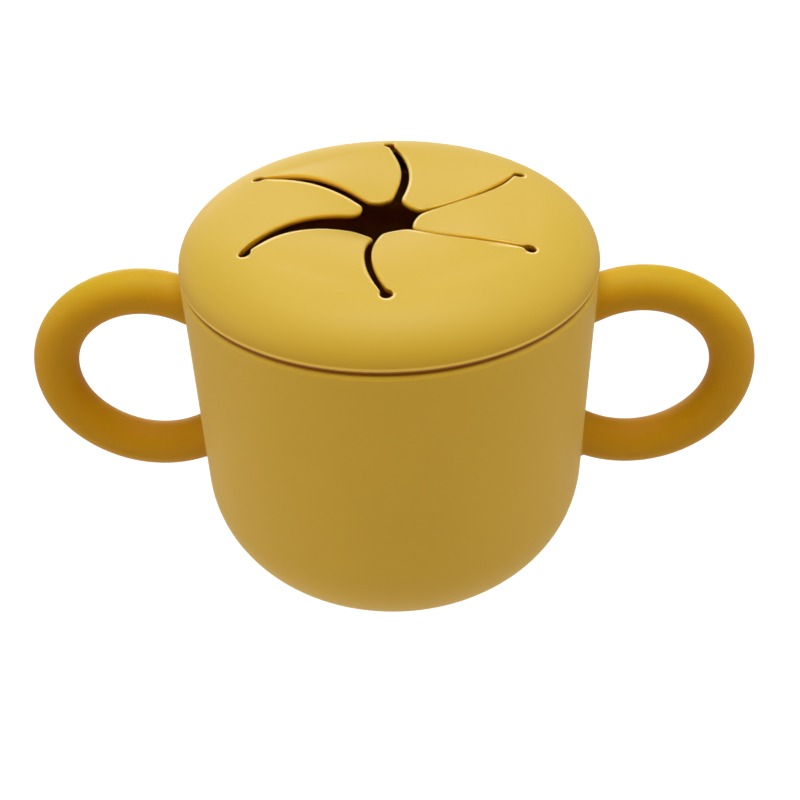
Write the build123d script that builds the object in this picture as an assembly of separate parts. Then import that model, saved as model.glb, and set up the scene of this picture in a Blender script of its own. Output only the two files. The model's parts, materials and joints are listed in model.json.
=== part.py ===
from build123d import *
from math import asin, atan, cos, degrees, radians, sin, tan
import os

# A toddler's snack cup in soft silicone: a two-handled cup and a push-in lid whose top is cut
# by six curved slits into bendy flaps, so that a small hand reaches in and snacks stay in.
# Millimetres. The origin is the centre of the base, on the surface that the cup stands on.
# +Z is up, +X runs through the right-hand handle and -Y is the front.

# Cup
cup_height = 73.2           # base to rim
mouth_outer_radius = 44.0   # outside of the wall, at the rim
base_outer_radius = 42.1    # outside of the wall, carried straight on down to the base
cup_wall = 3.0              # thickness of the wall and of the floor
turn_radius = 24.5          # outside radius where the wall turns in towards the base
heel_radius = 14.0          # tighter outside radius from there to the flat of the base
heel_angle = 35.0           # slope of the skin where the two radii meet, in degrees
rim_outer_fillet = 1.5
rim_inner_fillet = 0.6
foot_width = 6.5            # ring of the base that touches the table
foot_recess = 0.6           # how far the base is hollowed inside that ring
seat_depth = 10.0           # straight part of the mouth that takes the lid's plug

# Handles
grip_radius = 4.9
ring_radius = 19.3          # centre-line of the round outer part of the ring
ring_offset = 12.2          # ring's centre, outwards from the wall
ring_drop = 27.5            # ring's centre, down from the rim
ring_up_angle = 41.0        # how far the round part runs above the centre, in degrees
ring_down_angle = 39.0      # and below it
upper_arm_radius = 21.4     # centre-line of the upper arm into the wall
lower_arm_radius = 22.5     # centre-line of the lower arm into the wall
arm_sweep = 76.0            # how far each arm turns on its way to the wall, in degrees
arm_root_fillet = 0.8       # where an arm runs out into the wall

# Lid
lip_radius = 0.9            # rounding of the lid's lower edge
shoulder_run = 13.9         # how far in the shoulder's curve reaches
shoulder_rise = 10.1        # how far up it climbs
lid_skin = 2.0              # thickness of the lid's top
shoulder_skin = 2.2         # thickness at the foot of the shoulder
ledge_thickness = 2.0       # the ring that sits on the cup's rim
plug_wall = 2.0
plug_length = 8.0
plug_fillet = 0.6
rib_radius = 0.5            # sealing ribs round the plug
rib_count = 2
rib_pitch = 3.0

# Flaps
flap_count = 6
flap_skin = 1.3
flap_fillet = 0.35          # softened edges of the top face
first_slit_angle = -89.0    # direction of the front slit, in degrees
slit_margin = 11.6          # lid's edge to the centres of the slits' end holes
slit_bow = 3.6              # how far the middle of a slit bows clockwise, seen from above
slit_width = 1.1
slit_end_radius = 1.25
centre_hole_radius = 5.8
tip_fillet = 1.8
flap_droops = (1.7, 1.4, 0.6, 0.6, 1.1, 3.4)  # tips below the flat, from the front slit round

# Clearances
ledge_gap = 0.15            # lid's ledge over the rim
plug_gap = 0.4              # plug inside the mouth
rib_gap = 0.12              # rib's crest inside the mouth
hinge_gap = 0.2             # flap's rounded root to the lid
overrun = 5.0               # how far cutting and hidden shapes run past what they meet
tolerance = 0.001           # for finding an edge by its place

# Worked out from the above
draft = degrees(atan((mouth_outer_radius - base_outer_radius) / cup_height))
turn_angle = 90 - draft - heel_angle
lid_radius = mouth_outer_radius
ledge_z = cup_height + ledge_gap
shoulder_z = ledge_z + lip_radius
lid_top = shoulder_z + shoulder_rise
flat_top_radius = lid_radius - shoulder_run
slit_reach = lid_radius - slit_margin
sector = 360 / flap_count
hinge_distance = slit_reach * cos(radians(sector / 2))
hinge_z = lid_top - flap_skin / 2


def wall_radius(height):
    """Outside radius of the straight wall at a height."""
    return base_outer_radius + height * tan(radians(draft))


ring_x = wall_radius(cup_height - ring_drop) + ring_offset
ring_z = cup_height - ring_drop
mouth_radius = wall_radius(cup_height - seat_depth) - cup_wall / cos(radians(draft))
plug_radius = mouth_radius - plug_gap


def revolved(edges):
    """Revolve a half section, drawn as radius and height, round the upright axis."""
    return revolve(Plane.XZ * make_face(edges), Axis.Z)


def ring_edges(solid, height):
    """The round edges of a solid at a height, the smallest first."""
    circles = solid.edges().filter_by(GeomType.CIRCLE)
    found = [edge for edge in circles if abs(edge.center().Z - height) < tolerance]
    return sorted(found, key=lambda edge: edge.radius)


def flat_radius():
    """Radius of the flat under the base, where the heel's curve starts."""
    low, high = radians(heel_angle), radians(heel_angle + turn_angle)
    run = heel_radius * sin(low) + turn_radius * (sin(high) - sin(low))
    rise = heel_radius * (1 - cos(low)) + turn_radius * (cos(low) - cos(high))
    return wall_radius(rise) - run


def bowl(inset, height):
    """Solid inside the cup's skin moved in by inset, from its floor up to a height."""
    floor = Line((0, inset), (flat_radius(), inset))
    heel = JernArc(floor @ 1, (1, 0), heel_radius - inset, heel_angle)
    turn = JernArc(heel @ 1, heel % 1, turn_radius - inset, turn_angle)
    top = (wall_radius(height) - inset / cos(radians(draft)), height)
    wall = Line(turn @ 1, top)
    cover = Line(top, (0, height))
    axis = Line((0, height), (0, inset))
    return revolved([floor, heel, turn, wall, cover, axis])


def upright(radius, low, high):
    """Round bar on the upright axis between two heights."""
    return Pos(0, 0, low) * Cylinder(radius, high - low, align=(Align.CENTER, Align.CENTER, Align.MIN))


def cup_body():
    seat_z = cup_height - seat_depth
    body = bowl(0, cup_height) - bowl(cup_wall, seat_z) - upright(mouth_radius, seat_z, cup_height + overrun)
    body -= upright(flat_radius() - foot_width, 0, foot_recess)
    body = fillet(ring_edges(body, cup_height)[-1], rim_outer_fillet)
    return fillet(ring_edges(body, cup_height)[0], rim_inner_fillet)


def arm(way, turn, radius):
    """Centre-line of one arm, from the ring's round part to inside the cup, way being 1 above, -1 below."""
    angle = way * turn
    shift = ring_radius - radius
    centre = (ring_x + shift * cos(radians(angle)), ring_z + shift * sin(radians(angle)))
    curve = CenterArc(centre, radius, angle, way * arm_sweep)
    buried_x = base_outer_radius - grip_radius - overrun
    reach = ((curve @ 1).X - buried_x) / -(curve % 1).X
    return [curve, PolarLine(curve @ 1, reach, direction=curve % 1)]


def ring_path():
    """Centre-line of the right-hand handle: a round outer part and two flatter arms."""
    ring = CenterArc((ring_x, ring_z), ring_radius, -ring_down_angle, ring_down_angle + ring_up_angle)
    lower = arm(-1, ring_down_angle, lower_arm_radius)
    upper = arm(1, ring_up_angle, upper_arm_radius)
    return Plane.XZ * Wire(lower + [ring] + upper)


def handle_right():
    path = ring_path()
    tube = sweep(Plane(path @ 0, z_dir=path % 0) * Circle(grip_radius), path=path)
    skin = bowl(0, cup_height)
    joined = skin + tube
    joined = fillet(new_edges(skin, tube, combined=joined), arm_root_fillet)
    return joined - skin


def lid_outline(lip_start):
    """Outer half section of the lid, from the underside of its lip to the middle of its top."""
    lip = CenterArc((lid_radius - lip_radius, shoulder_z), lip_radius, -90, 90)
    shoulder = quarter_ellipse((flat_top_radius, shoulder_z), shoulder_run, shoulder_rise)
    return [Line(lip_start, lip @ 0), lip, shoulder, Line(shoulder @ 1, (0, lid_top))]


def quarter_ellipse(centre, run, rise):
    """Quarter of an upright ellipse from its outermost point round to its top."""
    return EllipticalCenterArc(centre, run, rise, arc_size=90)


def dome():
    """The lid as if it were solid, which trims what lies in its top."""
    return revolved(lid_outline((0, ledge_z)) + [Line((0, lid_top), (0, ledge_z))])


def lid_rim():
    """The lid without its flaps: domed shell, ledge and plug as one ring."""
    inner_z = ledge_z + ledge_thickness
    inner_rise = lid_top - lid_skin - inner_z
    under = quarter_ellipse((flat_top_radius, inner_z), shoulder_run - shoulder_skin, inner_rise)
    plug_bore = plug_radius - plug_wall
    top = Polyline((0, lid_top), (0, lid_top - lid_skin), under @ 1)
    plug = Polyline(
        under @ 0,
        (plug_bore, inner_z),
        (plug_bore, ledge_z - plug_length),
        (plug_radius, ledge_z - plug_length),
        (plug_radius, ledge_z),
    )
    shell = revolved(lid_outline(plug @ 1) + [top, under, plug])
    shell = fillet(ring_edges(shell, ledge_z - plug_length)[-1], plug_fillet)
    for index in range(rib_count):
        height = ledge_z - plug_length / 2 + (index - (rib_count - 1) / 2) * rib_pitch
        shell += Pos(0, 0, height) * Torus(mouth_radius - rib_gap - rib_radius, rib_radius)
    shell -= flap_window(inner_z)
    return fillet(end_hole_rims(shell), flap_fillet)


def end_hole_rims(shell):
    """The upper edges of the slits' end holes."""
    upper = [edge for edge in shell.edges() if edge.center().Z > lid_top - lid_skin / 2]
    reach = slit_reach + slit_end_radius
    return [edge for edge in upper if abs(Vector((edge @ 0.5).X, (edge @ 0.5).Y).length - reach) < tolerance]


def flap_window(low):
    """Hole in the lid's top that the flaps fill: six straight hinge edges and the slits' end holes."""
    edge_distance = hinge_distance + flap_skin / 2 + hinge_gap
    plan = RegularPolygon(edge_distance, flap_count, major_radius=False, rotation=first_slit_angle, align=None)
    for index in range(flap_count):
        plan += end_hole(first_slit_angle + index * sector)
    return Pos(0, 0, low) * extrude(plan, lid_top + overrun - low)


def end_hole(angle):
    return Rot(0, 0, angle) * Pos(slit_reach, 0) * Circle(slit_end_radius)


def slit(angle):
    """One curved slit, from the centre out to its end hole."""
    bow = ThreePointArc((0, 0), (slit_reach / 2, -slit_bow), (slit_reach, 0))
    return Rot(0, 0, angle) * SlotArc(bow, slit_width) + end_hole(angle)


def flat_flap():
    """A flap that points from its hinge at +X in to the centre, lying flat in the lid's top."""
    plan = RegularPolygon(hinge_distance, flap_count, major_radius=False, rotation=sector / 2, align=None)
    plan -= slit(-sector / 2) + slit(sector / 2) + Circle(centre_hole_radius)
    plan = plan.faces().sort_by(Axis.X)[-1]
    tips = plan.vertices().sort_by(lambda vertex: vertex.center().length)[:2]
    plan = plan.fillet_2d(tip_fillet, tips)
    blade = Pos(0, 0, lid_top - flap_skin) * extrude(plan, flap_skin)
    root = blade.faces().sort_by(Axis.X)[-1]
    rounded = [edge for edge in blade.faces().sort_by(Axis.Z)[-1].edges() if edge not in root.edges()]
    blade = fillet(rounded, flap_fillet)
    length = slit_reach - 2 * slit_end_radius
    blade += Pos(hinge_distance, 0, hinge_z) * Rot(90, 0, 0) * Cylinder(flap_skin / 2, length)
    return blade & dome()


def flap(index):
    """One flap in its place, drooping from its hinge."""
    droop = degrees(asin(flap_droops[index] / (hinge_distance - centre_hole_radius)))
    hinge = Pos(hinge_distance, 0, hinge_z)
    direction = first_slit_angle + (index + 0.5) * sector
    return Rot(0, 0, direction) * hinge * Rot(0, -droop, 0) * hinge.inverse() * flat_flap()


nodes = {
    "cup_body": cup_body(),
    "handle_right": handle_right(),
    "lid_rim": lid_rim(),
}
nodes["handle_left"] = Rot(0, 0, 180) * nodes["handle_right"]
for index in range(flap_count):
    nodes[f"flap_{index + 1}"] = flap(index)

os.makedirs("parts", exist_ok=True)
for name, solid in nodes.items():
    export_step(solid, f"parts/{name}.step")
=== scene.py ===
"""Looks of a toddler's snack cup in matte yellow silicone, with a smoothly bending petal for each flap."""

import json
from collections import namedtuple
from math import atan2, cos, degrees, hypot, pi, radians, sin, sqrt

import bmesh
import bpy
from mathutils import Matrix, Vector
from mathutils.geometry import delaunay_2d_cdt
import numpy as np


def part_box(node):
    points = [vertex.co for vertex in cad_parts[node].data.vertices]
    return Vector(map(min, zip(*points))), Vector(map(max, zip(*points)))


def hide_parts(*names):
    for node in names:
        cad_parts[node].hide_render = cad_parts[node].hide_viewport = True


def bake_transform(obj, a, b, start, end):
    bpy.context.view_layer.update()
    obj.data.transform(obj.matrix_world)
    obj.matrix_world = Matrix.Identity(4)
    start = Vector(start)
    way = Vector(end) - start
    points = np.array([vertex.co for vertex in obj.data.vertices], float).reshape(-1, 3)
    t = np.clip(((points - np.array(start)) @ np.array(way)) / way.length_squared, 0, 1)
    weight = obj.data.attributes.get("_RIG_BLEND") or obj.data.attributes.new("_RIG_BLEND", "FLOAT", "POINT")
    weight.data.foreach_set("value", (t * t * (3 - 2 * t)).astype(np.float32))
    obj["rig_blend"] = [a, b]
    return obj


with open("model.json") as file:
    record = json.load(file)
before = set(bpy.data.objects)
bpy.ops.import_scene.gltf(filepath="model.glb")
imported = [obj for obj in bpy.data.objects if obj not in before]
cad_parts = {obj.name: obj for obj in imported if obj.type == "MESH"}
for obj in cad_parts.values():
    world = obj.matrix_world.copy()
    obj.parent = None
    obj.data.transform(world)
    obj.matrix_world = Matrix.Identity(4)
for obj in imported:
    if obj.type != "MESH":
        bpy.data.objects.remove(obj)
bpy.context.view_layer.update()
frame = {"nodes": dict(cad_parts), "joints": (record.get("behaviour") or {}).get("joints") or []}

MM = 0.001

# Photograph: its frame and the view it was taken from
FRAME_SIDE = 800                 # pixels
SENSOR = 36.0                    # millimetres across the frame
FOCAL = 1389.1                   # pixels
AIM = Vector((1.537, 0.0, 36.685)) * MM
DISTANCE = 313.66 * MM
AZIMUTH = 1.935                  # degrees round from straight ahead
ELEVATION = 35.319
ROLL = -1.432
NEAR_CLIP = 0.01
FAR_CLIP = 20.0

# Studio. A light's azimuth is 0 from the front and 90 from the right. The surroundings shine by how
# high they stand, from -1 straight down to 1 straight up: a lit floor, white walls, a dark ceiling.
Lamp = namedtuple("Lamp", "power size azimuth elevation")
LAMPS = {
    "top_light": Lamp(11.0, 0.8, 0, 86),
    "back_light": Lamp(2.0, 0.8, 180, 40),
    "back_glint": Lamp(2.5, 0.8, -165, 8),
    "left_light": Lamp(2.5, 0.8, -75, 17),
    "right_light": Lamp(2.25, 0.8, 80, 35),
}
LIGHT_AIM = Vector((0, 0, 0.04))
LIGHT_DISTANCE = 1.1
SURROUNDINGS = (
    (-1.0, (0.74, 0.74, 0.74)), (-0.05, (0.74, 0.74, 0.74)), (0.0, (1.1, 1.1, 1.1)),
    (0.08, (1.1, 1.1, 1.1)), (0.2, (0, 0, 0)),
)
# Floor that curves up into walls, seen but not lighting the cup
COVE_RADIUS = 3.0
COVE_BEND = 1.0
COVE_HEIGHT = 2.6
COVE_FLOOR_RINGS = (0.6, 1.2)    # radii of the rings of points on its flat part
COVE_BEND_STEPS = 12
COVE_SIDES = 96
FLOOR_TONE = (0.1, 0.1, 0.1)
FLOOR_ROUGHNESS = 0.9
FLOOR_SHINE = 1.0

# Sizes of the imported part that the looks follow
LID_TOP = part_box("lid_rim")[1].z
LID_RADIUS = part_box("lid_rim")[1].x
HANDLE_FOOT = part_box("handle_left")[0].z
SHOULDER_RUN = 13.9 * MM
SHOULDER_RISE = 10.1 * MM
FLAT_RADIUS = LID_RADIUS - SHOULDER_RUN    # where the lid's flat top turns into the shoulder
LIP_LEVEL = LID_TOP - SHOULDER_RISE        # where the lid is widest

# Painted light and shade of the silicone by how its skin faces, from -1 straight down to 1 straight up
TOP_TONE = (0.660, 0.435, 0.045)                                  # top of the lid and its petals
# The lid's underside is darkened as painted shade; its shoulder and top are painted paler than its sides, as
# light from above
LID_SHADING = (
    (-1.0, (0.34, 0.09, 0.001)), (-0.22, (0.36, 0.10, 0.001)),    # underside
    (-0.05, (0.66, 0.365, 0.008)), (0.10, (0.66, 0.365, 0.008)),  # sides
    (0.45, (0.67, 0.405, 0.022)), (0.90, TOP_TONE),               # shoulder, then top
)
# The cup's rim is painted lighter to offset the lid's shadow on it; its top under the lid and the bottom inside
# are darkened as painted shade
CUP_SHADING = (
    (-1.0, (0.705, 0.408, 0.020)), (0.10, (0.705, 0.408, 0.020)),
    (0.45, (0.79, 0.475, 0.028)), (0.66, (0.90, 0.555, 0.036)),   # rim
    (0.86, (0.50, 0.19, 0.001)), (1.0, (0.60, 0.24, 0.002)),      # its top, and the bottom inside
)
# The handles' upper sides are painted paler than their undersides, as light from above
HANDLE_SHADING = (
    (-1.0, (0.625, 0.290, 0.0)), (0.25, (0.625, 0.302, 0.0)),
    (0.90, (0.645, 0.398, 0.013)),                                # upper side
)
# Painted shade: one darker tone all round the handles' lower arms, and the heights above the handles'
# lowest point up to which it is full, and where it is gone
HANDLE_LOW_SHADE_TONE = (0.60, 0.280, 0.0)
HANDLE_LOW_SHADE_FULL = 11.0 * MM
HANDLE_LOW_SHADE_END = 24.0 * MM
# Painted highlight on the lip's rounded lower edge, as if lit from the floor, and how high over LIP_LEVEL
# it starts, is full, begins to fade and ends
LIP_HIGHLIGHT_TONE = (0.88, 0.55, 0.065)
LIP_HIGHLIGHT_HEIGHTS = (-0.18 * MM, 0.05 * MM, 0.40 * MM, 0.60 * MM)
# Painted light on the slits' walls: a bright orange standing in for light bouncing and scattering in them.
# Painted shade low on the petals' walls, and down in the slits' end holes.
SLIT_LIGHT_TONE = (0.92, 0.49, 0.005)
WALL_SHADE_TONE = (0.45, 0.13, 0.001)
WALL_SHADE_EDGE = 0.15                  # share of that tone at the upper end of a petal's wall
WALL_SHADE_FOOT = 0.8                   # and at its lower end
HOLE_SHADE_TONE = (0.30, 0.05, 0.001)
HOLE_SHADE_DEPTHS = (0.4 * MM, 1.2 * MM)  # depths between which it gets that dark
HOLE_STEEP = (0.80, 0.70)         # what faces up less than this is a hole's wall,
HOLE_REACH = (2.1 * MM, 2.0 * MM)    # down to this depth
# Thin painted highlight along the edges that face back or to the left. It is as strong as CREST_LEVEL plus
# CREST_SLOPE times the share by which an edge faces CREST_WAY, a direction in plan.
HIGHLIGHT_TONE = (0.90, 0.68, 0.24)
CREST_WAY = (-0.25, 0.97)
CREST_SLOPE = 1.6
CREST_LEVEL = 0.35
CREST_START = 1.0 * MM            # how far in from the edge's rounding it starts,
CREST_FULL = 0.5 * MM             # and how far in it is full
CREST_SIDE = 0.3                  # share of those where the edge faces sideways
CREST_FADE = 5.0 * MM             # length over which it fades out,
CREST_SHORT = 1.0 * MM            # that at a petal's root,
CREST_AGAIN = 25.0 * MM           # and how far from the axis it comes back
# Painted highlight crescents in front of the slits' end holes
CRESCENT_SHIFT = 0.4 * MM         # crescents by the end holes: how far off centre their circle is,
CRESCENT_RADIUS = 1.64 * MM       # how large it is,
CRESCENT_EDGE = (0.15 * MM, 0.05 * MM)    # and how far out and in from there it fades

# Finish of the silicone
MATTE = 0.58                      # roughness,
MATTE_SPREAD = 0.08               # how far its grain varies that,
POLISHED = 0.24                   # and the slits' edges have this instead
POLISH_REACH = 0.3                # share of an edge's rounding over which it gets that smooth
Noise = namedtuple("Noise", "scale detail roughness")
CLOUDS = Noise(45.0, 3.0, 0.5)
GRAIN = Noise(5200.0, 2.0, 0.6)
WAVES = Noise(160.0, 1.0, 0.4)
CLOUD_DEPTH = 0.06                # how much deeper the soft clouds are
Relief = namedtuple("Relief", "strength distance")
GRAIN_RELIEF = Relief(0.12, 0.03 * MM)
WAVE_RELIEF = Relief(0.15, 0.05 * MM)
REFRACTION = 1.41
GLOSS = 0.5
HANDLE_GLOSS = 0.2
SHEEN = 0.06
SHEEN_ROUGHNESS = 0.4
GLOW_SHARE = 0.35                 # how much light passes under the cup's and handles' skin,
GLOW_REACH = (1.6 * MM, 0.7 * MM, 0.2 * MM)    # and how far its red, green and blue get

# Slits and petals
HALF_ANGLE = 30                        # degrees between a petal's middle and its slits
SLIT_REACH = LID_RADIUS - 11.6 * MM    # to the centres of the slits' end holes
SLIT_BOW = 3.7 * MM                    # the slits bow clockwise, most a little past their middle
SLIT_SKEW = 0.26
SLIT_POINTS = 120
END_RADIUS = 1.25 * MM
END_TAPER = 4                          # how late along a slit its edges come to end_cw and end_ccw
END_STEPS = 10
TIP_SWELL = 1.2 * MM                   # how much further from the axis a tip's corners are than its middle
TIP_ROUND_CW = 2.0 * MM
TIP_ROUND_CCW = 3.0 * MM
TIP_STEPS = 40
CORNER_STEPS = 12
SKIN = 1.3 * MM
TOP_ROUND = 0.48 * MM
UNDER_ROUND = 0.5 * MM
ROUND_STEPS = 5
ROOT_ROUND = 0.3                       # share of that rounding left at the roots,
ROUND_RUN = 5.0 * MM                   # and how far from them it is whole
HINGE_GAP = 0.2 * MM
ROOT_TUCK = 0.6 * MM                   # how far a petal's root runs into the lid's own skin
TUCK_STEP = 0.5 * MM
SINK = 0.01 * MM                       # keeps that root just under the lid's surface
BEND_RUN = 1.7 * MM                    # length of petal that bends at its hinge
EASE = 0.12                            # share of the petal over which its own curve starts
FINE_STEP = 0.08 * MM
OUTLINE_STEP = 0.3 * MM
ROOT_STEP = 0.6 * MM
GRID_STEP = 0.9 * MM
SLOPE_STEP = 0.05 * MM
SOFTEN_ROUNDS = 2

# How each petal sits, from the front slit round anticlockwise, seen from above. rise is how far its
# middle swells, drop how far its tip hangs, tilt and twist lean it sideways. The two edges stand back
# from the middle of their slits by edge_cw and edge_ccw, and by end_cw and end_ccw at the end holes.
# tip is how far its blunt tip is from the lid's axis, and crest how far from that axis the painted
# highlight on its edges reaches. curl_cw and curl_ccw turn its sides up, by the square of the distance
# from its middle. Millimetres.
Petal = namedtuple(
    "Petal", "rise drop tilt twist edge_cw edge_ccw end_cw end_ccw tip crest curl_cw curl_ccw")
PETALS = {
    "flap_1": Petal(0.77, 1.69, 0.029, 0.012, 0.68, 0.38, 0.65, 0.38, 5.3, 14, 0, 0.020),
    "flap_2": Petal(0.64, 1.38, 0.014, -0.003, 0.40, 0.42, 0.70, -0.60, 5.5, 11, 0.0045, 0),
    "flap_3": Petal(-0.36, 0.49, -0.033, 0.085, 0.44, 0.64, 1.15, 0.50, 5.7, 40, 0, 0),
    "flap_4": Petal(0.94, 0.57, 0.059, -0.134, 1.03, 0.46, 0.50, 0.46, 5.4, 40, 0, 0),
    "flap_5": Petal(0.84, 1.13, 0.001, -0.023, 0.43, 2.10, 0.43, 1.20, 6.1, 40, 0, 0),
    "flap_6": Petal(1.05, 3.15, 0.018, -0.038, 0.41, 0.62, 0.41, 0.75, 6.2, 40, 0, 0),
}

# A ring of points round a petal's edge. inset and flat are how far in it lies, the second less where
# the edge faces sideways. It is depth under the upper side, and dip further down. wall, crest and deep
# are its shares of the slits' painted-light wall tone, the painted highlight and the painted shade.
Ring = namedtuple("Ring", "inset flat dip depth wall crest deep")


def clamped(share):
    """A number kept between 0 and 1."""
    return min(1.0, max(0.0, share))


def turned(point, angle):
    """A plan point turned about the lid's axis, in degrees anticlockwise."""
    c, s = cos(radians(angle)), sin(radians(angle))
    return (point[0] * c - point[1] * s, point[0] * s + point[1] * c)


def apart(a, b):
    """Distance between two plan points."""
    return hypot(b[0] - a[0], b[1] - a[1])


def towards(azimuth, elevation):
    """Unit vector from the cup towards an azimuth and an elevation."""
    az, el = radians(azimuth), radians(elevation)
    return Vector((sin(az) * cos(el), -cos(az) * cos(el), sin(el)))


def evenly(points, step):
    """A line of plan points, laid out again at an even step."""
    lengths = [0.0]
    for a, b in zip(points, points[1:]):
        lengths.append(lengths[-1] + apart(a, b))
    count = max(2, round(lengths[-1] / step))
    out, k = [], 0
    for i in range(count + 1):
        want = lengths[-1] * i / count
        while k < len(points) - 2 and lengths[k + 1] < want:
            k += 1
        t = (want - lengths[k]) / max(lengths[k + 1] - lengths[k], 1e-12)
        a, b = points[k], points[k + 1]
        out.append((a[0] + (b[0] - a[0]) * t, a[1] + (b[1] - a[1]) * t))
    return out


def softened(line, rounds):
    """A line of plan points with its sharp turns eased, its ends kept."""
    for _ in range(rounds):
        inner = [
            tuple((a + 2 * b + c) / 4 for a, b, c in zip(*three))
            for three in zip(line, line[1:], line[2:])
        ]
        line = [line[0]] + inner + [line[-1]]
    return line


def beside(line, distances):
    """A line of plan points, each moved to the right of its travel by its own distance."""
    befores, afters = line[:1] + line[:-1], line[1:] + line[-1:]
    out = []
    for (x, y), a, b, off in zip(line, befores, afters, distances):
        length = apart(a, b)
        out.append((x + (b[1] - a[1]) / length * off, y - (b[0] - a[0]) / length * off))
    return out


def slit_edge(side, stand_back, end_back):
    """Long edge of a petal that points along +X from the axis, from its tip end outwards.
    side is -1 for its clockwise slit and 1 for its anticlockwise one."""
    line, offs = [], []
    for i in range(1, SLIT_POINTS + 1):
        s = i / SLIT_POINTS
        bow = 4 * SLIT_BOW * s * (1 - s) * (1 - SLIT_SKEW * (1 - 2 * s))
        line.append((s * SLIT_REACH, -bow))
        share = (hypot(*line[-1]) / SLIT_REACH) ** END_TAPER
        offs.append(side * (stand_back + (end_back - stand_back) * share))
    return [turned(point, HALF_ANGLE * side) for point in beside(line, offs)]


def petal_side(petal, side):
    """One long edge of a petal, from just outside its tip to its end hole."""
    backs = (petal.edge_cw, petal.end_cw) if side < 0 else (petal.edge_ccw, petal.end_ccw)
    edge = slit_edge(side, *(back * MM for back in backs))
    hole = turned((SLIT_REACH, 0), HALF_ANGLE * side)
    reach = petal.tip * MM + TIP_SWELL
    return [p for p in edge if hypot(*p) > reach and apart(hole, p) > END_RADIUS]


def petal_tip(petal, low, high):
    """Blunt tip of a petal, between the points where its two long edges start."""
    start, end = atan2(low[1], low[0]), atan2(high[1], high[0])
    reach = petal.tip * MM + TIP_SWELL
    line = []
    for k in range(TIP_STEPS + 1):
        angle = start + (end - start) * k / TIP_STEPS
        out = reach - TIP_SWELL * (1 - (2 * k / TIP_STEPS - 1) ** 2)
        line.append((out * cos(angle), out * sin(angle)))
    return line


def rounded_corner(first, second, radius):
    """Two plan lines, the second starting where the first ends, joined by an arc of a radius.
    The petal lies on the right of their travel."""
    offs = [beside(line, [radius] * len(line)) for line in (first, second)]
    gaps = ((apart(p, q), i, j) for i, p in enumerate(offs[0]) for j, q in enumerate(offs[1]))
    _, i, j = min(gaps)
    x, y = [(a + b) / 2 for a, b in zip(offs[0][i], offs[1][j])]
    start = atan2(first[i][1] - y, first[i][0] - x)
    end = atan2(second[j][1] - y, second[j][0] - x)
    if end > start:
        end -= 2 * pi
    if start - end > pi:
        end += 2 * pi
    turns = [start + (end - start) * k / CORNER_STEPS for k in range(CORNER_STEPS + 1)]
    arc = [(x + radius * cos(t), y + radius * sin(t)) for t in turns]
    return first[:i] + arc + second[j + 1:]


def end_arc(edge, side, root):
    """The petal's edge round a slit's end hole, from the last point of its long edge to its root line."""
    x, y = turned((SLIT_REACH, 0), HALF_ANGLE * side)
    start = atan2(edge[-1][1] - y, edge[-1][0] - x)
    reach = root - x
    end = atan2(-side * sqrt(END_RADIUS ** 2 - reach ** 2), reach)
    if side > 0 and start > 0:
        start -= 2 * pi
    if side < 0 and start < 0:
        start += 2 * pi
    turns = [start + (end - start) * k / END_STEPS for k in range(1, END_STEPS + 1)]
    return [(x + END_RADIUS * cos(t), y + END_RADIUS * sin(t)) for t in turns]


def petal_outline(petal, root):
    """Closed plan outline of a petal that points along +X from the axis, anticlockwise."""
    low, high = petal_side(petal, -1), petal_side(petal, 1)
    tip = evenly(petal_tip(petal, low[0], high[0]), FINE_STEP)
    joined = rounded_corner(evenly(low[::-1], FINE_STEP), tip, TIP_ROUND_CW)
    joined = rounded_corner(joined, evenly(high, FINE_STEP), TIP_ROUND_CCW)
    free = end_arc(low, -1, root)[::-1] + joined + end_arc(high, 1, root)
    free = softened(evenly(free, OUTLINE_STEP), SOFTEN_ROUNDS)
    tuck = [
        (root + ROOT_TUCK, free[-1][1] - TUCK_STEP),
        (root + ROOT_TUCK, free[0][1] + TUCK_STEP),
    ]
    back = evenly([free[-1]] + tuck + [free[0]], ROOT_STEP)
    return (free + back[1:-1])[::-1]


def edge_ease(outline, root):
    """Share of the full edge rounding at each point of an outline: less by the narrow end holes."""
    return [min(1.0, max(ROOT_ROUND, (root - x) / ROUND_RUN)) for x, _ in outline]


def facings(outline):
    """The plan direction each point of a closed anticlockwise outline faces."""
    out = []
    count = len(outline)
    for i in range(count):
        a, b = outline[i - 2], outline[(i + 2) % count]
        length = apart(a, b)
        out.append(((b[1] - a[1]) / length, -(b[0] - a[0]) / length))
    return out


def highlight_shares(petal, outline, root, direction):
    """At each point of a petal's outline, how much of the painted highlight it has and how wide that is."""
    strength, width = [], []
    for (x, y), faces in zip(outline, facings(outline)):
        faces = turned(faces, direction)
        level = CREST_SLOPE * (faces[0] * CREST_WAY[0] + faces[1] * CREST_WAY[1]) + CREST_LEVEL
        away = hypot(x, y)
        reach = max(petal.crest * MM - away, away - CREST_AGAIN) / CREST_FADE
        shown = (root - x) / CREST_SHORT
        strength.append(clamped(level) * clamped(reach) * clamped(shown))
        width.append(CREST_SIDE + (1 - CREST_SIDE) * abs(faces[1]))
    return strength, width


def inset(outline, distances):
    """A closed anticlockwise outline with each point moved inwards by its own distance."""
    return [
        (x - face[0] * off, y - face[1] * off)
        for (x, y), face, off in zip(outline, facings(outline), distances)
    ]


def is_inside(point, outline):
    """Whether a plan point lies inside a closed outline."""
    x, y = point
    within = False
    for (ax, ay), (bx, by) in zip(outline, outline[1:] + outline[:1]):
        if (ay > y) != (by > y) and x < (bx - ax) * (y - ay) / (by - ay) + ax:
            within = not within
    return within


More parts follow.
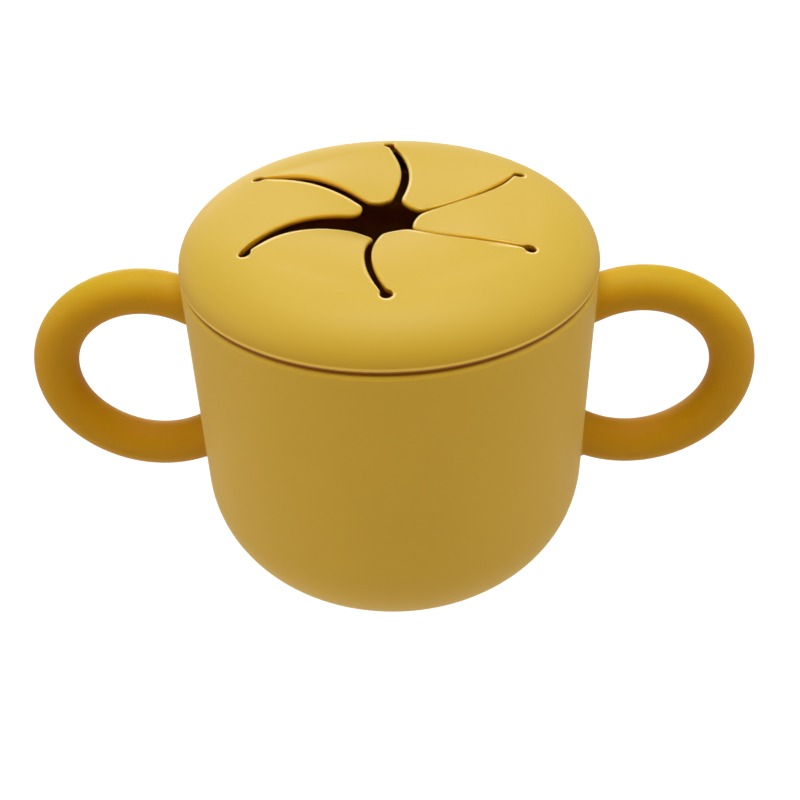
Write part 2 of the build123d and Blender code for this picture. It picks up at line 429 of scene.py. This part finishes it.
def inside_points(outline, step, margin):
    """Points of an even grid that lie inside an outline and at least a margin from it."""
    xs, ys = [p[0] for p in outline], [p[1] for p in outline]
    found = []
    row = 0
    y = min(ys) + step / 2
    while y < max(ys):
        x = min(xs) + step / 2 * (row % 2)
        while x < max(xs):
            if is_inside((x, y), outline) and min(apart(p, (x, y)) for p in outline) > margin:
                found.append((x, y))
            x += step
        y += step * sin(pi / 3)
        row += 1
    return found


def lid_height(radius):
    """Height of the lid's outer surface at a distance from its axis."""
    past = max(0.0, radius - FLAT_RADIUS) / SHOULDER_RUN
    return LID_TOP - SHOULDER_RISE * (1 - sqrt(max(0.0, 1 - past * past)))


def petal_lift(petal, x, y, root):
    """How far a petal's upper side stands above the lid's own surface at a plan point."""
    share = max(0.0, (root - x) / (root - petal.tip * MM))
    t = share * share / (share + EASE) * (1 + EASE)
    lift = petal.rise * MM * 4 * t * (1 - t) - petal.drop * MM * t * t
    lift -= y * (petal.tilt * t + petal.twist * 4 * t * (1 - t))
    lift += (petal.curl_ccw if y > 0 else petal.curl_cw) / MM * y * y * 4 * t * (1 - t)
    return lift - SINK


def petal_point(petal, x, y, depth, root):
    """Point of a petal below its upper side by a depth, square to that side."""
    def upper(px, py):
        return lid_height(hypot(px, py)) + petal_lift(petal, px, py, root)

    step = SLOPE_STEP
    slope_x = (upper(x + step, y) - upper(x - step, y)) / (2 * step)
    slope_y = (upper(x, y + step) - upper(x, y - step)) / (2 * step)
    if x > root - 2 * step:
        slope_x = 0.0
    normal = Vector((-slope_x, -slope_y, 1)).normalized()
    return Vector((x, y, upper(x, y))) - normal * depth


def edge_rings():
    """Rings of points round a petal's edge, from its upper side over the edge to its underside."""
    rings = [Ring(TOP_ROUND, CREST_START, 0, 0, 0, 0, 0), Ring(TOP_ROUND, CREST_FULL, 0, 0, 0, 1, 0)]
    shares = [k / ROUND_STEPS for k in range(ROUND_STEPS + 1)]
    for share in shares:
        a = pi / 2 * share
        in_by, down_by = TOP_ROUND * (1 - sin(a)), TOP_ROUND * (1 - cos(a))
        rings.append(Ring(in_by, 0, down_by, 0, share, 1 - share * share, WALL_SHADE_EDGE * share * share))
    for share in shares:
        a = pi / 2 * share
        in_by, up_by = UNDER_ROUND * (1 - cos(a)), UNDER_ROUND * (1 - sin(a))
        rings.append(Ring(in_by, 0, -up_by, SKIN, 1, 0, WALL_SHADE_FOOT * (1 - share)))
    return rings


def add_side(mesh, petal, root, loop, border, ring):
    """Close a petal's upper side or underside inside its last ring of points."""
    wall = mesh.verts.layers.float["wall"]
    count = len(loop)
    inner = inside_points(border, GRID_STEP, GRID_STEP / 2)
    plan = [Vector(p) for p in border + inner]
    edges = [(i, (i + 1) % count) for i in range(count)]
    _, _, faces, origin, _, _ = delaunay_2d_cdt(plan, edges, [], 1, 1e-9)
    verts = list(loop)
    for x, y in inner:
        vert = mesh.verts.new(petal_point(petal, x, y, ring.depth, root))
        vert[wall] = ring.wall
        verts.append(vert)
    for face in faces:
        corners = [verts[origin[i][0]] for i in face]
        mesh.faces.new(corners[::-1] if ring.depth else corners)


def petal_mesh(petal, root, direction):
    """Closed mesh of a petal that points along +X from the axis, and will be turned to a direction."""
    outline = petal_outline(petal, root)
    ease = edge_ease(outline, root)
    pale, wide = highlight_shares(petal, outline, root, direction)
    rings = edge_rings()

    def line_of(ring):
        return inset(outline, [part * (ring.inset + ring.flat * w) for part, w in zip(ease, wide)])

    mesh = bmesh.new()
    # marks for the walls' painted-light tone, the painted highlight and the painted shade
    wall, crest, deep = [mesh.verts.layers.float.new(mark) for mark in ("wall", "crest", "deep")]
    loops = []
    for ring in rings:
        loops.append([])
        for (x, y), part, share in zip(line_of(ring), ease, pale):
            vert = mesh.verts.new(petal_point(petal, x, y, ring.depth + ring.dip * part, root))
            vert[wall] = ring.wall
            vert[crest] = ring.crest * share
            vert[deep] = ring.deep
            loops[-1].append(vert)
    for upper, lower in zip(loops, loops[1:]):
        for i in range(len(outline)):
            j = (i + 1) % len(outline)
            mesh.faces.new((upper[i], lower[i], lower[j], upper[j]))
    for k in (0, -1):
        add_side(mesh, petal, root, loops[k], line_of(rings[k]), rings[k])
    bmesh.ops.recalc_face_normals(mesh, faces=mesh.faces)
    return mesh


def make_petal(name, petal, joint):
    """A petal in its place, drooping as the photograph shows, that bends at its hinge."""
    hinge = Vector(joint["pos_m"])
    direction = degrees(atan2(hinge.y, hinge.x))
    root = hypot(hinge.x, hinge.y) + SKIN / 2 + HINGE_GAP
    shape = petal_mesh(petal, root, direction)
    shape.transform(Matrix.Rotation(radians(direction), 4, "Z"))
    for face in shape.faces:
        face.smooth = True
    mesh = bpy.data.meshes.new(f"petal_{name[-1]}")
    shape.to_mesh(mesh)
    shape.free()
    piece = bpy.data.objects.new(f"petal_{name[-1]}", mesh)
    bpy.context.scene.collection.objects.link(piece)
    outwards = Vector((cos(radians(direction)), sin(radians(direction)), 0))
    height = Vector((0, 0, hinge.z))
    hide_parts(name)
    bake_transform(piece, "lid", name, start=outwards * root + height, end=outwards * (root - BEND_RUN) + height)
    return piece


def coordinates(nodes, links, kind):
    """X, Y and Z of a texture coordinate."""
    split = nodes.new("ShaderNodeSeparateXYZ")
    links.new(nodes.new("ShaderNodeTexCoord").outputs[kind], split.inputs["Vector"])
    return split.outputs


def mark_of(nodes, name):
    """A number kept at the points of a piece's mesh."""
    node = nodes.new("ShaderNodeAttribute")
    node.attribute_name = name
    return node.outputs["Fac"]


def level_of(nodes, links, value, low, high):
    """How far a number has come from a low one (0) to a high one (1)."""
    node = nodes.new("ShaderNodeMapRange")
    node.inputs["From Min"].default_value = low
    node.inputs["From Max"].default_value = high
    links.new(value, node.inputs["Value"])
    return node.outputs["Result"]


def combined(nodes, links, operation, first, second):
    """Two numbers' product, or the lesser of them."""
    node = nodes.new("ShaderNodeMath")
    node.operation = operation
    links.new(first, node.inputs[0])
    links.new(second, node.inputs[1])
    return node.outputs["Value"]


def mixed(nodes, links, share, first, second):
    """Two tones, each a colour or a socket, mixed by a share of the second."""
    node = nodes.new("ShaderNodeMix")
    node.data_type = "RGBA"
    for name, tone in (("A", first), ("B", second)):
        if isinstance(tone, tuple):
            node.inputs[name].default_value = (*tone, 1)
        else:
            links.new(tone, node.inputs[name])
    links.new(share, node.inputs["Factor"])
    return node.outputs["Result"]


def ramp_of(nodes, links, value, stops):
    """Colours for stops given from -1 to 1, by a value in that range."""
    node = nodes.new("ShaderNodeValToRGB")
    ramp = node.color_ramp
    while len(ramp.elements) < len(stops):
        ramp.elements.new(1.0)
    for element, (level, colour) in zip(ramp.elements, stops):
        element.position = (level + 1) / 2
        element.color = (*colour, 1)
    links.new(level_of(nodes, links, value, -1.0, 1.0), node.inputs["Fac"])
    return node.outputs["Color"]


def painted_shading(nodes, links, stops):
    """Painted light and shade by how steeply the skin faces up or down."""
    return ramp_of(nodes, links, coordinates(nodes, links, "Normal")["Z"], stops)


def highlight_crescent_share(nodes, links, hole_directions):
    """How much of the painted highlight crescents in front of the slits' end holes a point of the lid has."""
    place = nodes.new("ShaderNodeTexCoord")
    nearest = None
    for direction in hole_directions:
        x, y = turned((SLIT_REACH, 0), direction)
        away = nodes.new("ShaderNodeVectorMath")
        away.operation = "DISTANCE"
        away.inputs[1].default_value = (
            x - CREST_WAY[0] * CRESCENT_SHIFT, y - CREST_WAY[1] * CRESCENT_SHIFT, lid_height(SLIT_REACH))
        links.new(place.outputs["Object"], away.inputs[0])
        distance = away.outputs["Value"]
        nearest = combined(nodes, links, "MINIMUM", nearest, distance) if nearest else distance
    outside, inside = CRESCENT_RADIUS + CRESCENT_EDGE[0], CRESCENT_RADIUS - CRESCENT_EDGE[1]
    return level_of(nodes, links, nearest, outside, inside)


def lid_paint(hole_directions):
    """The lid's painted light and shade by how it faces, with a painted highlight round its lip, a bright tone
    of painted light high on the slits' end holes' walls turning to painted shade further down, and a painted
    highlight crescent in front of each hole."""
    def paint(nodes, links):
        height = coordinates(nodes, links, "Object")["Z"]
        facing = coordinates(nodes, links, "Normal")["Z"]
        start, full, fade, end = [LIP_LEVEL + rise for rise in LIP_HIGHLIGHT_HEIGHTS]
        below = level_of(nodes, links, height, end, fade)
        above = level_of(nodes, links, height, start, full)
        lip = combined(nodes, links, "MULTIPLY", below, above)
        # painted highlight round the lip
        tone = mixed(nodes, links, lip, painted_shading(nodes, links, LID_SHADING), LIP_HIGHLIGHT_TONE)
        # painted highlight crescents in front of the end holes
        tone = mixed(nodes, links, highlight_crescent_share(nodes, links, hole_directions), tone, HIGHLIGHT_TONE)
        # painted light high on the end holes' walls, turning to painted shade further down
        steep = level_of(nodes, links, facing, *HOLE_STEEP)
        high = level_of(nodes, links, height, LID_TOP - HOLE_REACH[0], LID_TOP - HOLE_REACH[1])
        deep = level_of(nodes, links, height, LID_TOP - HOLE_SHADE_DEPTHS[0], LID_TOP - HOLE_SHADE_DEPTHS[1])
        in_hole = combined(nodes, links, "MULTIPLY", steep, high)
        return mixed(nodes, links, in_hole, tone, mixed(nodes, links, deep, SLIT_LIGHT_TONE, HOLE_SHADE_TONE)), None

    return paint


def petal_paint(nodes, links):
    """The lid's top tone on a petal's upper side, a bright tone of painted light on its polished walls and
    underside with painted shade low on the walls, and a painted highlight along its edges."""
    wall = mark_of(nodes, "wall")
    # painted light on the walls
    tone = mixed(nodes, links, wall, TOP_TONE, SLIT_LIGHT_TONE)
    # painted shade low on the walls
    tone = mixed(nodes, links, mark_of(nodes, "deep"), tone, WALL_SHADE_TONE)
    polish = level_of(nodes, links, wall, 0.0, POLISH_REACH)
    # painted highlight along the edges
    return mixed(nodes, links, mark_of(nodes, "crest"), tone, HIGHLIGHT_TONE), polish


def cup_paint(nodes, links):
    """The cup's painted light and shade by how it faces."""
    return painted_shading(nodes, links, CUP_SHADING), None


def handle_paint(nodes, links):
    """The handles' painted light and shade by how they face, with one darker tone of painted shade on their
    lower arms.
    """
    height = coordinates(nodes, links, "Object")["Z"]
    # painted shade on the lower arms
    low = level_of(nodes, links, height, HANDLE_FOOT + HANDLE_LOW_SHADE_END, HANDLE_FOOT + HANDLE_LOW_SHADE_FULL)
    return mixed(nodes, links, low, painted_shading(nodes, links, HANDLE_SHADING), HANDLE_LOW_SHADE_TONE), None


def silicone(name, paint, glow=0.0, gloss=GLOSS):
    """Matte moulded silicone with soft clouds, a powdery grain and a faint waviness. paint gives the
    sockets of its tone and of how polished it is."""
    material = bpy.data.materials.new(name)
    material.use_nodes = True
    nodes, links = material.node_tree.nodes, material.node_tree.links
    shader = nodes["Principled BSDF"]
    place = nodes.new("ShaderNodeTexCoord")

    def noise(kind):
        node = nodes.new("ShaderNodeTexNoise")
        node.inputs["Scale"].default_value = kind.scale
        node.inputs["Detail"].default_value = kind.detail
        node.inputs["Roughness"].default_value = kind.roughness
        links.new(place.outputs["Object"], node.inputs["Vector"])
        return node.outputs["Fac"]

    def bump(height, relief):
        node = nodes.new("ShaderNodeBump")
        node.inputs["Strength"].default_value = relief.strength
        node.inputs["Distance"].default_value = relief.distance
        links.new(height, node.inputs["Height"])
        return node

    clouds, grain, waves = noise(CLOUDS), noise(GRAIN), noise(WAVES)
    colour, polish = paint(nodes, links)
    tone = nodes.new("ShaderNodeMix")
    tone.data_type = "RGBA"
    tone.blend_type = "MULTIPLY"
    tone.inputs["B"].default_value = (1 - CLOUD_DEPTH, 1 - CLOUD_DEPTH, 1 - 2 * CLOUD_DEPTH, 1)
    links.new(colour, tone.inputs["A"])
    links.new(clouds, tone.inputs["Factor"])
    links.new(tone.outputs["Result"], shader.inputs["Base Color"])
    spread = nodes.new("ShaderNodeMapRange")
    spread.inputs["To Min"].default_value = MATTE - MATTE_SPREAD
    spread.inputs["To Max"].default_value = MATTE + MATTE_SPREAD
    links.new(grain, spread.inputs["Value"])
    roughness = spread.outputs["Result"]
    if polish:
        blend = nodes.new("ShaderNodeMix")
        blend.inputs["B"].default_value = POLISHED
        links.new(roughness, blend.inputs["A"])
        links.new(polish, blend.inputs["Factor"])
        roughness = blend.outputs["Result"]
    links.new(roughness, shader.inputs["Roughness"])
    fine, broad = bump(grain, GRAIN_RELIEF), bump(waves, WAVE_RELIEF)
    links.new(fine.outputs["Normal"], broad.inputs["Normal"])
    links.new(broad.outputs["Normal"], shader.inputs["Normal"])
    shader.inputs["IOR"].default_value = REFRACTION
    shader.inputs["Subsurface Weight"].default_value = glow
    shader.inputs["Subsurface Radius"].default_value = GLOW_REACH
    shader.inputs["Subsurface Scale"].default_value = 1.0
    shader.inputs["Specular IOR Level"].default_value = gloss
    shader.inputs["Sheen Weight"].default_value = SHEEN
    shader.inputs["Sheen Roughness"].default_value = SHEEN_ROUGHNESS
    return material


def make_cove():
    """A wide pale floor that curves up into walls."""
    turns = [pi / 2 * k / COVE_BEND_STEPS for k in range(COVE_BEND_STEPS + 1)]
    bend = [(COVE_RADIUS - COVE_BEND * (1 - sin(t)), COVE_BEND * (1 - cos(t))) for t in turns]
    profile = [(r, 0.0) for r in COVE_FLOOR_RINGS] + bend + [(COVE_RADIUS, COVE_HEIGHT)]
    around = [2 * pi * i / COVE_SIDES for i in range(COVE_SIDES)]
    mesh = bmesh.new()
    middle = mesh.verts.new((0, 0, 0))
    rings = [[mesh.verts.new((r * cos(t), r * sin(t), z)) for t in around] for r, z in profile]
    for i in range(COVE_SIDES):
        j = (i + 1) % COVE_SIDES
        mesh.faces.new((middle, rings[0][i], rings[0][j]))
        for low, high in zip(rings, rings[1:]):
            mesh.faces.new((low[i], high[i], high[j], low[j]))
    shape = bpy.data.meshes.new("cove")
    mesh.to_mesh(shape)
    mesh.free()
    cove = bpy.data.objects.new("cove", shape)
    bpy.context.scene.collection.objects.link(cove)
    material = bpy.data.materials.new("pale_floor")
    material.use_nodes = True
    shader = material.node_tree.nodes["Principled BSDF"]
    shader.inputs["Base Color"].default_value = (*FLOOR_TONE, 1)
    shader.inputs["Roughness"].default_value = FLOOR_ROUGHNESS
    shader.inputs["Emission Color"].default_value = (1, 1, 1, 1)
    shader.inputs["Emission Strength"].default_value = FLOOR_SHINE
    shape.materials.append(material)
    cove.visible_diffuse = False
    cove.visible_glossy = False
    cove.visible_transmission = False
    cove.visible_shadow = False


def softbox(name, lamp):
    """A round soft light aimed at the cup."""
    back = towards(lamp.azimuth, lamp.elevation)
    light = bpy.data.lights.new(name, "AREA")
    light.shape = "DISK"
    light.size = lamp.size
    light.energy = lamp.power
    holder = bpy.data.objects.new(name, light)
    holder.location = LIGHT_AIM + back * LIGHT_DISTANCE
    holder.rotation_euler = back.to_track_quat("Z", "Y").to_euler()
    holder.visible_camera = False
    bpy.context.scene.collection.objects.link(holder)


def make_lights():
    """Soft lights, and surroundings that shine by their height."""
    world = bpy.data.worlds.new("studio")
    world.use_nodes = True
    nodes, links = world.node_tree.nodes, world.node_tree.links
    shine = ramp_of(nodes, links, coordinates(nodes, links, "Generated")["Z"], SURROUNDINGS)
    links.new(shine, nodes["Background"].inputs["Color"])
    bpy.context.scene.world = world
    for name, lamp in LAMPS.items():
        softbox(name, lamp)
    bpy.context.scene.view_settings.view_transform = "Standard"


def make_camera():
    """The photograph's camera."""
    back = towards(AZIMUTH, ELEVATION)
    level = Vector((cos(radians(AZIMUTH)), sin(radians(AZIMUTH)), 0))
    rise = back.cross(level)
    turn = Matrix.Rotation(radians(ROLL), 3, back)
    right, up = turn @ level, turn @ rise
    camera = bpy.data.cameras.new("camera")
    camera.sensor_width = SENSOR
    camera.lens = FOCAL * SENSOR / FRAME_SIDE
    camera.clip_start, camera.clip_end = NEAR_CLIP, FAR_CLIP
    holder = bpy.data.objects.new("camera", camera)
    axes = Matrix((right, up, back)).transposed().to_4x4()
    holder.matrix_world = Matrix.Translation(AIM + back * DISTANCE) @ axes
    bpy.context.scene.collection.objects.link(holder)
    bpy.context.scene.camera = holder


hinges = {joint["child"]: joint for joint in frame["joints"]}
petal_directions = [degrees(atan2(*hinges[flap]["pos_m"][1::-1])) for flap in PETALS]
holes = [HALF_ANGLE + direction for direction in petal_directions]
lid_look = silicone("lid_silicone", lid_paint(holes))
petal_look = silicone("petal_silicone", petal_paint)
cup_look = silicone("cup_silicone", cup_paint, glow=GLOW_SHARE)
handle_look = silicone("handle_silicone", handle_paint, glow=GLOW_SHARE, gloss=HANDLE_GLOSS)
looks = {"cup_body": cup_look, "handle_left": handle_look, "handle_right": handle_look, "lid_rim": lid_look}
for node, look in looks.items():
    mesh = frame["nodes"][node].data
    mesh.materials.clear()
    mesh.materials.append(look)
for flap, petal in PETALS.items():
    make_petal(flap, petal, hinges[flap]).data.materials.append(petal_look)

make_cove()
make_lights()
make_camera()
